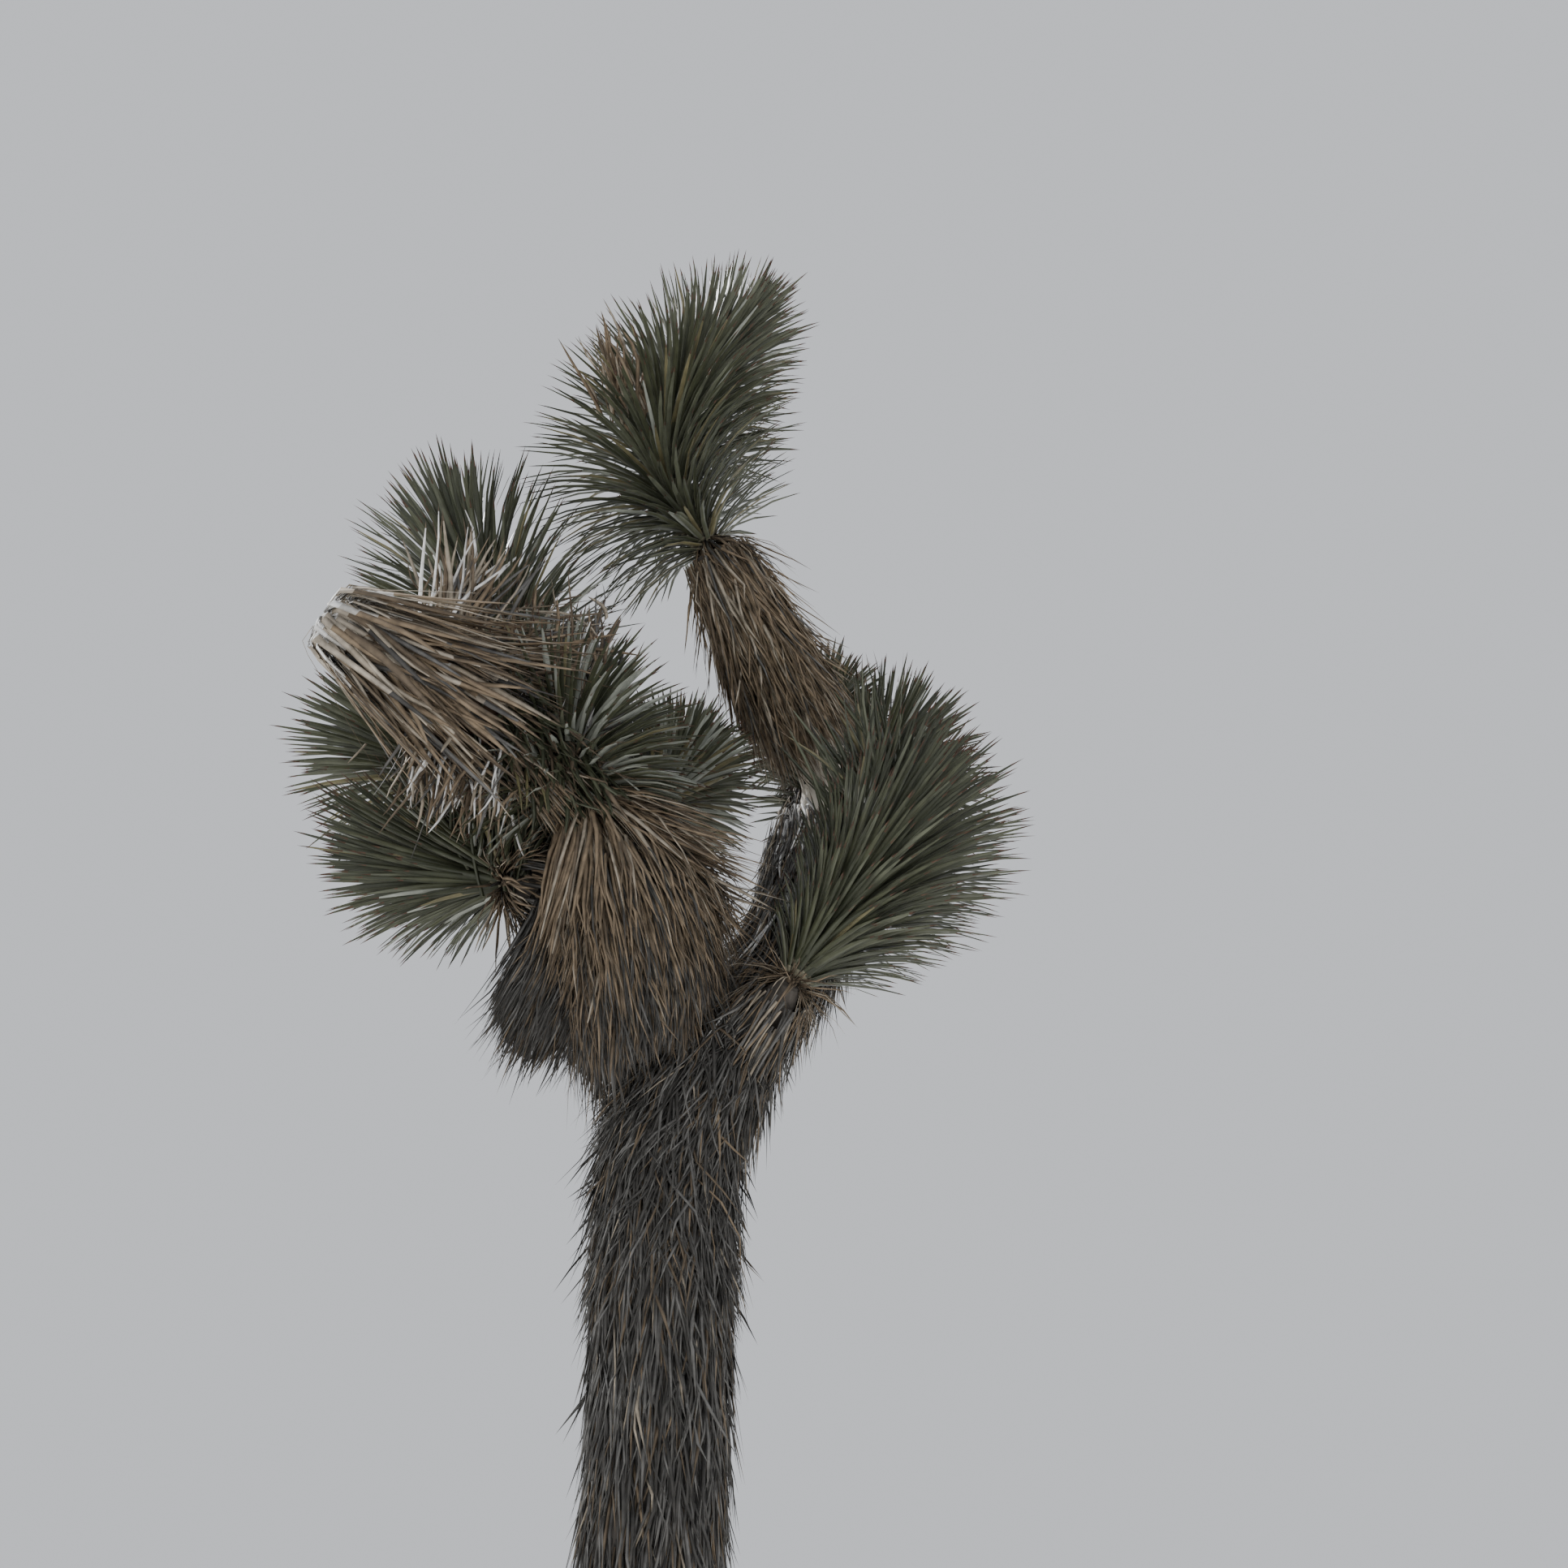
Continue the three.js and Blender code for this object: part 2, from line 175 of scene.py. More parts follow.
trunk_line = [(0, 0, 0), (-0.004, 0.003, 0.35), (-0.014, 0.01, 1.3), (-0.006, 0.004, 2.45), (0.008, 0, 3.0),
              (0.052, 0, 3.13), (0.106, 0, 3.254)]
trunk_radii = [0.104, 0.102, 0.1, 0.099, 0.104, 0.108, 0.098]
trunk = model_limb("trunk_wood", trunk_line, trunk_radii, 420, 30)
flare_width, flare_height, root_lobes = 0.078, 0.17, 5
for vertex in trunk.data.vertices:
    angle = math.atan2(vertex.co.y, vertex.co.x)
    fade = math.exp(-vertex.co.z / flare_height)
    lobe = math.cos(root_lobes * angle + 0.6 * math.sin(2 * angle))
    flare = flare_width * fade * (1 + 0.22 * fade * lobe)
    out = Vector((vertex.co.x, vertex.co.y, 0))
    if out.length > 1e-4:
        vertex.co += out.normalized() * flare
fissure(trunk, 0.03, 34, 7, least_z=1e-4)
for vertex in trunk.data.vertices:
    vertex.co.z = max(vertex.co.z, 0)
bark = new_material("corky_bark", (0.15, 0.13, 0.115), 0.95)
weather(bark, (0.105, 0.094, 0.083), 30, (1, 1, 0.22), 0.4, 1.4, 0.008)
trunk.data.materials.append(bark)
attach(trunk, "root")
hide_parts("trunk")


# The boughs: each one is a short crooked limb that tapers to the leaf head at its end. Their wood is the
# same as the trunk's, and hides under dead leaves except for one bare cream elbow on the way to the top.
boughs = {
    "bough_right": ([(0.092, -0.006, 3.222), (0.188, 0.03, 3.359), (0.236, 0.08, 3.514), (0.25, 0.15, 3.741)],
                    [0.096, 0.096, 0.095, 0.088]),
    "bough_top": ([(0.252, 0.148, 3.725), (0.274, 0.15, 3.8), (0.255, 0.11, 3.913), (0.15, 0, 4.062),
                   (0.055, -0.1, 4.208)], [0.05, 0.052, 0.078, 0.082, 0.072]),
    "bough_spur": ([(0.096, 0.006, 3.14), (0.15, -0.076, 3.18), (0.204, -0.16, 3.215)], [0.074, 0.068, 0.054]),
    "bough_left": ([(0.05, -0.004, 3.13), (-0.024, -0.112, 3.309), (-0.115, -0.19, 3.46)], [0.098, 0.094, 0.082]),
    "bough_low": ([(-0.05, -0.126, 3.335), (-0.15, -0.165, 3.385), (-0.277, -0.18, 3.402)], [0.068, 0.066, 0.054]),
    "bough_front": ([(-0.1, -0.178, 3.432), (-0.135, -0.218, 3.48), (-0.16, -0.25, 3.529)], [0.07, 0.068, 0.056]),
    "bough_rear": ([(-0.1, -0.176, 3.44), (-0.2, -0.11, 3.6), (-0.288, -0.05, 3.729)], [0.066, 0.062, 0.058]),
    "bough_inner": ([(-0.104, -0.18, 3.44), (-0.095, -0.1, 3.54), (-0.062, 0, 3.653)], [0.062, 0.058, 0.048]),
    "bough_upper_left": ([(-0.276, -0.058, 3.706), (-0.31, -0.045, 3.82), (-0.328, -0.05, 3.917)],
                         [0.054, 0.052, 0.044]),
    "bough_far_left": ([(-0.27, -0.054, 3.694), (-0.35, 0.005, 3.74), (-0.435, 0.06, 3.77)], [0.054, 0.05, 0.044]),
    "bough_outer": ([(0.24, 0.11, 3.62), (0.28, 0.19, 3.72), (0.323, 0.25, 3.8)], [0.06, 0.056, 0.046]),
    "bough_back": ([(0.248, 0.14, 3.69), (0.256, 0.29, 3.88), (0.254, 0.42, 4.061)], [0.056, 0.05, 0.04]),
    "dead_arm": ([(-0.146, -0.23, 3.498), (-0.222, -0.316, 3.542), (-0.3, -0.385, 3.585)], [0.044, 0.038, 0.034]),
}
under_thatch, elbow_top = 0.82, 3.875
cream = new_material("bare_wood", (0.66, 0.61, 0.52), 0.8)
weather(cream, (0.66, 0.61, 0.52), 26, (1, 1, 0.4), 0.6, 1.2, 0.003)
for name, (points, radii) in boughs.items():
    at_tip = 0.65 if name == "bough_top" else 0.3
    wood_radii = [under_thatch * r for r in radii[:-1]] + [at_tip * radii[-1]]
    wood = model_limb(name + "_wood", points, wood_radii, 70, 14)
    fissure(wood, 0.012, 30, 14)
    wood.data.materials.append(bark)
    wood.data.materials.append(cream)
    if name == "bough_top":
        for face in wood.data.polygons:
            face.material_index = int(face.center.z < elbow_top)
    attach(wood, "root")
    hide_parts(name)


# One leaf of each sort is modelled: a flat bar drawn out from its clasping foot to its point, with a
# channel down its upper side. Face slots: 0 blade, 1 margin or half-bleached stretch, 2 tip, 3 clasping foot.
# Its corners and faces are put in a fixed order, each face from its lowest edge, because an extrusion may
# list them otherwise each time.
def model_leaf(name, sides, thickness, channel, stations, foot_end=0.08, pale_end=0):
    bpy.ops.mesh.primitive_circle_add(vertices=sides, radius=0.5, fill_type="NGON")
    leaf = bpy.context.object
    leaf.name = name
    bpy.ops.object.mode_set(mode="EDIT")
    bpy.ops.mesh.select_all(action="SELECT")
    (at, width), *rest = stations
    bpy.ops.transform.resize(value=(width, width * thickness, 1))
    for height, wide in rest:
        bpy.ops.mesh.extrude_region_move(TRANSFORM_OT_translate={"value": (0, 0, height - at)})
        if wide:
            bpy.ops.transform.resize(value=(wide / width, wide / width, 1))
        at, width = height, wide or width
    bpy.ops.mesh.merge(type="CENTER")
    bpy.ops.mesh.select_all(action="SELECT")
    bpy.ops.mesh.normals_make_consistent(inside=False)
    bpy.ops.mesh.select_all(action="DESELECT")
    shape = bmesh.from_edit_mesh(leaf.data)
    tiny = 1e-4
    for vertex in shape.verts:
        vertex.select = abs(vertex.co.x) < tiny and vertex.co.y > tiny
    bpy.ops.transform.translate(value=(0, -channel, 0))
    bpy.ops.object.mode_set(mode="OBJECT")
    points = np.array([v.co[:] for v in leaf.data.vertices])
    order = np.lexsort(np.round(points, 5).T)
    number = np.argsort(order).tolist()
    tip_start = max(rest[-2][0], 0.9)
    listed = []
    for face in leaf.data.polygons:
        heights = [points[v][2] for v in face.vertices]
        pale = max(heights) <= pale_end or sides > 4 and abs(face.normal.x) > 0.9
        slot = 2 if min(heights) >= tip_start - tiny else 3 if max(heights) <= foot_end else int(pale)
        corners, rings = [number[v] for v in face.vertices], [round(height, 5) for height in heights]
        edges = list(zip(rings, rings[1:] + rings[:1], corners))
        first = edges.index(min(edges))
        listed.append((corners[first:] + corners[:first], slot))
    bpy.data.objects.remove(leaf)
    faces, slots = zip(*sorted(listed))
    return points[order], faces, slots


# A spray of leaves is one mesh of bent copies. Each leaf sets off one way and ends another, so it can arch
# or hang, may sag and ripple on the way, and takes one of its sort's colours. The last three materials are
# for the margin, the tip and the foot.
rng = np.random.default_rng(7)
golden = math.radians(137.508)


def turned(vectors):
    return vectors / np.linalg.norm(vectors, axis=-1, keepdims=True)


def leaves_mesh(name, model, roots, start, finish, faced, lengths, widths, colours, materials,
                turn=(0, 1), sag=0.0, wave=0.0):
    points, faces, slots = model
    count, steps = len(roots), 40
    levels, level_of = np.unique(np.round(points[:, 2], 5), return_inverse=True)
    fine = np.linspace(0, 1, steps + 1)
    blend = np.clip((fine - turn[0]) / (turn[1] - turn[0]), 0, 1)
    blend = (blend * blend * (3 - 2 * blend))[None, :, None]
    across = turned(np.cross(turned(start + finish), faced))
    ripple = wave * rng.normal(0, 1, (count, 1)) * np.sin(5 * fine + 6.3 * rng.random((count, 1)))
    heading = start[:, None] * (1 - blend) + finish[:, None] * blend + across[:, None] * ripple[:, :, None]
    drop = np.broadcast_to(sag, count)[:, None, None] * (fine * fine)[None, :, None]
    heading = turned(heading + np.array((0, 0, -1)) * drop)
    paces = (heading[:, 1:] + heading[:, :-1]) / (2 * steps)
    walked = np.concatenate([np.zeros_like(heading[:, :1]), np.cumsum(paces, axis=1)], 1)
    nearest = np.round(levels * steps).astype(int)
    spine_line = roots[:, None] + walked[:, nearest] * lengths[:, None, None]
    rise = turned(np.cross(across[:, None], heading[:, nearest]))
    spots = spine_line[:, level_of]
    spots = spots + across[:, None] * (points[None, :, 0, None] * widths[:, None, None])
    spots = spots + rise[:, level_of] * (points[None, :, 1, None] * widths[:, None, None])
    offsets = np.arange(count) * len(points)
    sizes = np.tile([len(f) for f in faces], count)
    corners = (np.concatenate(faces)[None] + offsets[:, None]).ravel()
    mesh = bpy.data.meshes.new(name)
    mesh.vertices.add(count * len(points))
    mesh.vertices.foreach_set("co", spots.reshape(-1))
    mesh.loops.add(len(corners))
    mesh.loops.foreach_set("vertex_index", corners)
    mesh.polygons.add(len(sizes))
    mesh.polygons.foreach_set("loop_start", np.concatenate([[0], np.cumsum(sizes)[:-1]]))
    for material in materials:
        mesh.materials.append(material)
    blades = len(materials) - 3
    slot = np.tile(slots, count)
    painted = np.where(slot == 0, np.repeat(colours, len(faces)), blades - 1 + slot)
    mesh.polygons.foreach_set("material_index", painted.astype(np.int32))
    mesh.update(calc_edges=True)
    spray = bpy.data.objects.new(name, mesh)
    bpy.context.collection.objects.link(spray)
    return spray


def line_frame(line, share, angle):
    steps = 240
    centres, tangents, _ = smooth_line(line, [1] * len(line), steps)
    at = np.round(share * (steps - 1)).astype(int)
    side = turned(np.cross(tangents[at], (0.3, 1, 0.2)))
    other = np.cross(tangents[at], side)
    return centres[at], tangents[at], side * np.cos(angle)[:, None] + other * np.sin(angle)[:, None]


# Thatch: leaves that died years ago and folded down flat against the stem, tier over tier. They are grey
# and frayed on the trunk, and browner on the younger wood above. lift is their angle off the stem, stray the
# share that stands off it, and bare how long the lowest tier is.
thatch_leaf = model_leaf("thatch_leaf", 3, 0.3, 0, [(0, 0.9), (0.35, 1), (0.7, 0.7), (1, 0)])
frayed_leaf = model_leaf("frayed_leaf", 3, 0.35, 0, [(0, 0.9), (0.55, 0.95), (1, 0)])
comb_leaf = model_leaf("comb_leaf", 4, 0.2, 0.05,
                       [(0, 1.1), (0.12, 1.0), (0.3, 1.0), (0.5, 0.92), (0.75, 0.7), (0.92, 0.3), (1, 0)])


def dry_leaf(name, colour):
    material = new_material(name, colour, 0.8)
    weather(material, colour, 45, (1, 1, 1), 0.6, 1.35, 0.001)
    return material


ash = dry_leaf("ash_grey_straw", (0.145, 0.141, 0.133))
slate = dry_leaf("dark_grey_straw", (0.068, 0.065, 0.06))
umber = dry_leaf("umber_straw", (0.14, 0.108, 0.074))
ochre = dry_leaf("ochre_straw", (0.235, 0.178, 0.118))
sand = dry_leaf("sand_straw", (0.36, 0.31, 0.24))
bone = dry_leaf("bone_white_straw", (0.86, 0.85, 0.83))
straws = [ash, slate, umber, ochre, sand, bone]


def thatch(name, leaf, points, radii, count, mix, length=0.18, width=0.0064, lift=(4, 13), first=0, last=1,
           stray=0.05, sway=0.14, bare=0.4):
    share = first + (last - first) * (np.arange(count) + rng.random(count)) / count
    centre, tangent, out = line_frame(points, share, rng.random(count) * 2 * math.pi)
    reach = np.concatenate([[0], np.cumsum(np.linalg.norm(np.diff(np.array(points), axis=0), axis=1))])
    radius = np.interp(share, reach / reach[-1], radii)
    wild = rng.random(count) < stray
    tilt = np.radians(np.where(wild, rng.uniform(16, 45, count), rng.uniform(*lift, count)))[:, None]
    aside = np.cross(tangent, out) * rng.normal(0, sway, (count, 1))
    start = turned(-tangent * np.cos(tilt) + out * np.sin(tilt) + aside)
    start = start + (0, 0, -1) * (0.25 * rng.random((count, 1)))
    inward = np.minimum(np.sum(start * out, 1) - 0.06, 0)[:, None]
    start = turned(start - out * inward)
    scatter = rng.normal(0, 0.1, (count, 3))
    tuck = out * rng.uniform(-0.06, 0.14, (count, 1))
    finish = turned(start + scatter + (0, 0, -0.12) - tuck)
    lengths = length * rng.uniform(0.7, 1.08, count) * np.clip(bare + 5 * (share - first), bare, 1)
    lengths = lengths * np.where(wild, 0.6, 1)
    roots = centre + out * (radius * rng.uniform(0.8, 0.96, count))[:, None]
    widths = width * rng.uniform(0.7, 1.25, count)
    return leaves_mesh(name, leaf, roots, start, finish, out, lengths, widths, rng.choice(6, count, p=mix),
                       straws + [ash, ash, ash], wave=0.16)


full_line = [(0, 0, 0.13), (-0.004, 0.003, 0.34)] + trunk_line[2:]
fork_line = [(-0.004, 0, 2.75)] + trunk_line[4:]
trunk_coats = [
    thatch("trunk_thatch", frayed_leaf, full_line, [0.142, 0.115, 0.112, 0.111, 0.116, 0.12, 0.106], 18500,
           [0.41, 0.47, 0.07, 0.02, 0.03, 0], width=0.0068, lift=(2, 9), stray=0.015, sway=0.18),
    thatch("fork_thatch", thatch_leaf, fork_line, [0.112, 0.118, 0.124, 0.108], 2000,
           [0.34, 0.52, 0.1, 0.03, 0.01, 0], width=0.0062, lift=(6, 16), stray=0.06, sway=0.4),
]
for coat in trunk_coats:
    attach(coat, "root")
bough_coats = {
    "bough_right": dict(count=2300, mix=[0.6, 0.1, 0.06, 0.06, 0.1, 0.08], last=0.94),
    "bough_top": dict(count=3000, mix=[0.05, 0.03, 0.22, 0.5, 0.2, 0], length=0.27, width=0.0085, lift=(2, 8),
                      first=0.44, stray=0.1, bare=0.12),
    "bough_spur": dict(count=800, mix=[0.32, 0.32, 0.2, 0.1, 0.06, 0]),
    "bough_left": dict(count=700, mix=[0.2, 0.25, 0.3, 0.2, 0.05, 0]),
    "bough_low": dict(count=420, mix=[0.2, 0.3, 0.3, 0.15, 0.05, 0]),
    "bough_front": dict(count=300, mix=[0.1, 0.1, 0.35, 0.35, 0.1, 0]),
    "bough_rear": dict(count=420, mix=[0.15, 0.2, 0.3, 0.25, 0.1, 0]),
    "bough_inner": dict(count=300, mix=[0.15, 0.2, 0.35, 0.22, 0.08, 0]),
    "bough_upper_left": dict(count=260, mix=[0.1, 0.15, 0.3, 0.25, 0.2, 0]),
    "bough_far_left": dict(count=260, mix=[0.1, 0.1, 0.25, 0.25, 0.2, 0.1]),
    "bough_outer": dict(count=260, mix=[0.2, 0.35, 0.3, 0.1, 0.05, 0]),
    "bough_back": dict(count=420, mix=[0.2, 0.3, 0.3, 0.15, 0.05, 0]),
    "dead_arm": dict(count=420, mix=[0.1, 0.05, 0.35, 0.35, 0.15, 0]),
}
for name, coating in bough_coats.items():
    coat = thatch(name + "_thatch", thatch_leaf, *boughs[name], **coating)
    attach(coat, "root")


# The living heads: a ball of stiff sword-shaped leaves round the end of each bough, youngest at the tip.
# Each sets off close to the stem and then bends away from it. lengths and tilts run from foot to tip, lean
# turns all the leaves one way, and short clips those on one side.
sword_leaf = model_leaf("sword_leaf", 6, 0.16, 0.13,
                        [(0, 1.25), (0.07, 1.0), (0.35, 0.98), (0.7, 0.78), (0.92, 0.3), (1, 0)])


def green_leaf(name, colour):
    material = new_material(name, colour, 0.45, specular=0.5)
    weather(material, colour, 30, (1, 1, 1), 0.7, 1.3, 0.0006)
    return material


# Leaf colours. The silvery one is partly the grey-green of real leaves and partly painted highlight: it stands in
# for sun glints on lit leaves. It is dealt out most in the front and inner heads, which sit in shade, to light
# them.
greens = [
    green_leaf("deep_olive_leaf", (0.044, 0.05, 0.028)),
    green_leaf("olive_leaf", (0.072, 0.079, 0.044)),
    green_leaf("grey_green_leaf", (0.115, 0.124, 0.082)),
    green_leaf("yellowing_leaf", (0.2, 0.18, 0.095)),
    green_leaf("silvery_leaf_and_painted_glint", (0.36, 0.38, 0.33)),
]
# The pale margin is the leaf's own pale edge, painted lighter as a highlight: it stands in for the sun glinting
# along the leaf edges.
margin_and_glint = green_leaf("pale_margin_painted_glint", (0.21, 0.21, 0.16))
spine = dry_leaf("red_brown_spine", (0.11, 0.065, 0.045))
foot = dry_leaf("cream_leaf_foot", (0.3, 0.28, 0.2))
heads = {
    "head_top": dict(
        line=[(0.055, -0.1, 4.208), (-0.04, -0.14, 4.34), (-0.024, -0.165, 4.52), (0.066, -0.165, 4.7)],
        count=1050, lengths=[0.21, 0.26, 0.295, 0.265, 0.27, 0.29, 0.27], tilts=[92, 84, 74, 62, 50, 28, 6],
        curl=(-18, 8), tints_and_glints=[0.18, 0.34, 0.34, 0.11, 0.03]),
    "head_right": dict(
        line=[(0.204, -0.16, 3.215), (0.286, -0.16, 3.34), (0.368, -0.12, 3.52)],
        count=1050, lengths=[0.17, 0.24, 0.29, 0.325, 0.345, 0.345, 0.3], tilts=[58, 58, 54, 51, 45, 32, 8],
        curl=(-20, 8), tints_and_glints=[0.43, 0.38, 0.17, 0.02, 0.0], lean=(0.24, 0, 0.02), short=(-0.42, 0, 0)),
    "head_upper_left": dict(
        line=[(-0.328, -0.05, 3.917), (-0.384, -0.064, 4.05), (-0.43, -0.076, 4.178)],
        count=430, lengths=[0.26, 0.31, 0.325, 0.32, 0.3], tilts=[80, 64, 48, 28, 6],
        curl=(-10, 6), tints_and_glints=[0.3, 0.4, 0.2, 0.05, 0.05]),
    "head_far_left": dict(
        line=[(-0.435, 0.06, 3.77), (-0.503, 0.095, 3.84), (-0.56, 0.13, 3.9)],
        count=440, lengths=[0.24, 0.28, 0.3, 0.29, 0.27], tilts=[80, 64, 48, 28, 6],
        curl=(-8, 6), tints_and_glints=[0.2, 0.46, 0.27, 0.06, 0.01]),
    "head_low_left": dict(
        line=[(-0.277, -0.18, 3.402), (-0.335, -0.16, 3.42), (-0.395, -0.135, 3.45)],
        count=560, lengths=[0.17, 0.25, 0.31, 0.32, 0.29], tilts=[48, 43, 35, 24, 8],
        curl=(-8, 6), tints_and_glints=[0.42, 0.32, 0.15, 0.04, 0.07], short=(0, 0, -0.2)),
    "head_front": dict(
        line=[(-0.16, -0.25, 3.529), (-0.197, -0.22, 3.634), (-0.246, -0.16, 3.773)],
        count=760, lengths=[0.19, 0.24, 0.25, 0.25, 0.26, 0.26], tilts=[130, 116, 92, 66, 40, 8],
        curl=(-18, 8), tints_and_glints=[0.16, 0.25, 0.23, 0.05, 0.31]),
    "head_inner": dict(
        line=[(-0.062, 0, 3.653), (-0.033, 0.05, 3.745), (-0.004, 0.1, 3.838)],
        count=480, lengths=[0.17, 0.185, 0.185, 0.175, 0.17], tilts=[100, 82, 62, 38, 8],
        curl=(-16, 8), tints_and_glints=[0.1, 0.22, 0.28, 0.13, 0.27]),
    "head_outer": dict(
        line=[(0.323, 0.25, 3.8), (0.36, 0.281, 3.89), (0.404, 0.306, 3.976)],
        count=460, lengths=[0.21, 0.255, 0.27, 0.26, 0.24], tilts=[104, 84, 62, 38, 8],
        curl=(-14, 8), tints_and_glints=[0.5, 0.32, 0.13, 0.03, 0.02]),
    "head_back": dict(
        line=[(0.254, 0.42, 4.061), (0.263, 0.446, 4.146), (0.28, 0.468, 4.226)],
        count=380, lengths=[0.16, 0.185, 0.185, 0.175], tilts=[104, 80, 50, 8],
        curl=(-14, 8), tints_and_glints=[0.5, 0.32, 0.13, 0.03, 0.02]),
}
leaf_width, stem_radius = 0.0112, 0.022


def read_along(values, share):
    return np.interp(share, np.linspace(0, 1, len(values)), values)


for name, head in heads.items():
    count = head["count"]
    order = (np.arange(count) + 0.5) / count
    angle = np.arange(count) * golden + rng.normal(0, 0.12, count)
    centre, tangent, out = line_frame(head["line"], 0.02 + 0.96 * order, angle)
    wander = rng.normal(0, 5, count)
    leave, arrive = (np.radians(read_along(head["tilts"], order) + bend + wander)[:, None] for bend in head["curl"])
    start = tangent * np.cos(leave) + out * np.sin(leave)
    faced = tangent * np.sin(leave) - out * np.cos(leave)
    lean, scatter = head.get("lean", (0, 0, 0)), rng.normal(0, 0.05, (count, 3))
    finish = turned(tangent * np.cos(arrive) + out * np.sin(arrive) + lean + scatter)
    lengths = read_along(head["lengths"], order) * rng.uniform(0.84, 1.03, count)
    lengths = lengths * (1 - np.clip(out @ head.get("short", (0, 0, 0)), 0, 1))
    widths = leaf_width * rng.uniform(0.82, 1.15, count)
    spray = leaves_mesh(name + "_leaves", sword_leaf, centre + out * stem_radius, start, finish, faced, lengths,
                        widths, rng.choice(5, count, p=head["tints_and_glints"]), greens + [margin_and_glint, spine, foot], sag=0.05)
    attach(spray, "root")
    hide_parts(name)


# The oldest leaves of each head have dried at its foot. Some stay upright, some stick out like spokes, and
# most fold back. folded gives their angles from the stem.
dry_feet = {
    "head_top": dict(count=130, folded=(150, 176), length=0.17, rooted=(0, 0.05),
                     straw=[0.05, 0.15, 0.4, 0.3, 0.1, 0]),
    "head_right": dict(count=100, folded=(85, 165), length=0.13, width=0.004, rooted=(-0.06, 0.03),
                       straw=[0.02, 0.03, 0.25, 0.45, 0.25, 0]),
    "head_upper_left": dict(count=240, folded=(15, 150), length=0.22, rooted=(0, 0.5),
                            straw=[0.12, 0, 0.1, 0.25, 0.25, 0.28]),
    "head_far_left": dict(count=200, folded=(90, 178), length=0.18, width=0.008, rooted=(0, 0.25),
                          straw=[0.05, 0, 0.12, 0.2, 0.25, 0.38]),
    "head_low_left": dict(count=160, folded=(95, 170), length=0.14, rooted=(0, 0.1),
                          straw=[0, 0.05, 0.3, 0.45, 0.2, 0]),
    "head_front": dict(count=170, folded=(20, 140), length=0.22, rooted=(0, 0.9),
                       straw=[0.1, 0.02, 0.18, 0.25, 0.2, 0.25]),
    "head_inner": dict(count=60, folded=(100, 165), length=0.15, rooted=(0, 0.1),
                       straw=[0.1, 0.2, 0.4, 0.25, 0.05, 0]),
    "head_outer": dict(count=90, folded=(60, 165), length=0.17, rooted=(0, 0.3),
                       straw=[0.1, 0.25, 0.4, 0.2, 0.05, 0]),
    "head_back": dict(count=50, folded=(100, 165), length=0.13, rooted=(0, 0.1),
                      straw=[0.1, 0.25, 0.4, 0.2, 0.05, 0]),
}
for name, dry in dry_feet.items():
    count = dry["count"]
    share = np.linspace(*dry["rooted"], count)
    centre, tangent, out = line_frame(heads[name]["line"], np.maximum(share, 0), np.arange(count) * golden)
    fold = np.radians(rng.uniform(*dry["folded"], count))[:, None]
    start = tangent * np.cos(fold * 0.8) + out * np.sin(fold * 0.8)
    finish = turned(tangent * np.cos(fold) + out * np.sin(fold) + rng.normal(0, 0.16, (count, 3)))
    lengths = dry["length"] * rng.uniform(0.5, 1.1, count)
    widths = dry.get("width", 0.0066) * rng.uniform(0.6, 1.3, count)
    spray = leaves_mesh(name + "_dry_foot", thatch_leaf, centre + out * stem_radius, start, finish, out, lengths,
                        widths, rng.choice(6, count, p=dry["straw"]), straws + [ash, slate, sand],
                        sag=0.25, wave=0.3)
    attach(spray, "root")


# The dead crown: the arm that reaches towards the viewer's left broke off at its bud. Its bleached leaves
# keep their broad white feet in a cup round the torn end, then flow back along the arm and sag. They come in
# four sorts, by how much of the foot is white and how far up the blade is half bleached.
tip, heel = np.array((-0.572, -0.55, 3.705)), np.array((-0.3, -0.385, 3.585))
reach = turned(tip - heel)
side = turned(np.cross(reach, (0, 0, 1)))
other = np.cross(reach, side)
fawn = dry_leaf("fawn_straw", (0.42, 0.37, 0.3))
chalk = dry_leaf("chalky_straw", (0.52, 0.5, 0.46))
strip = [(0, 1.5), (0.06, 1.7), (0.14, 1.25), (0.23, 1.05), (0.34, 1.0), (0.49, 0.95), (0.65, 0.85), (0.8, 0.65),
         (0.93, 0.35), (1, 0)]
crown_sorts = [(0.14, 0.34, 110), (0.23, 0.49, 120), (0.34, 0.49, 120), (0.23, 0.65, 90)]
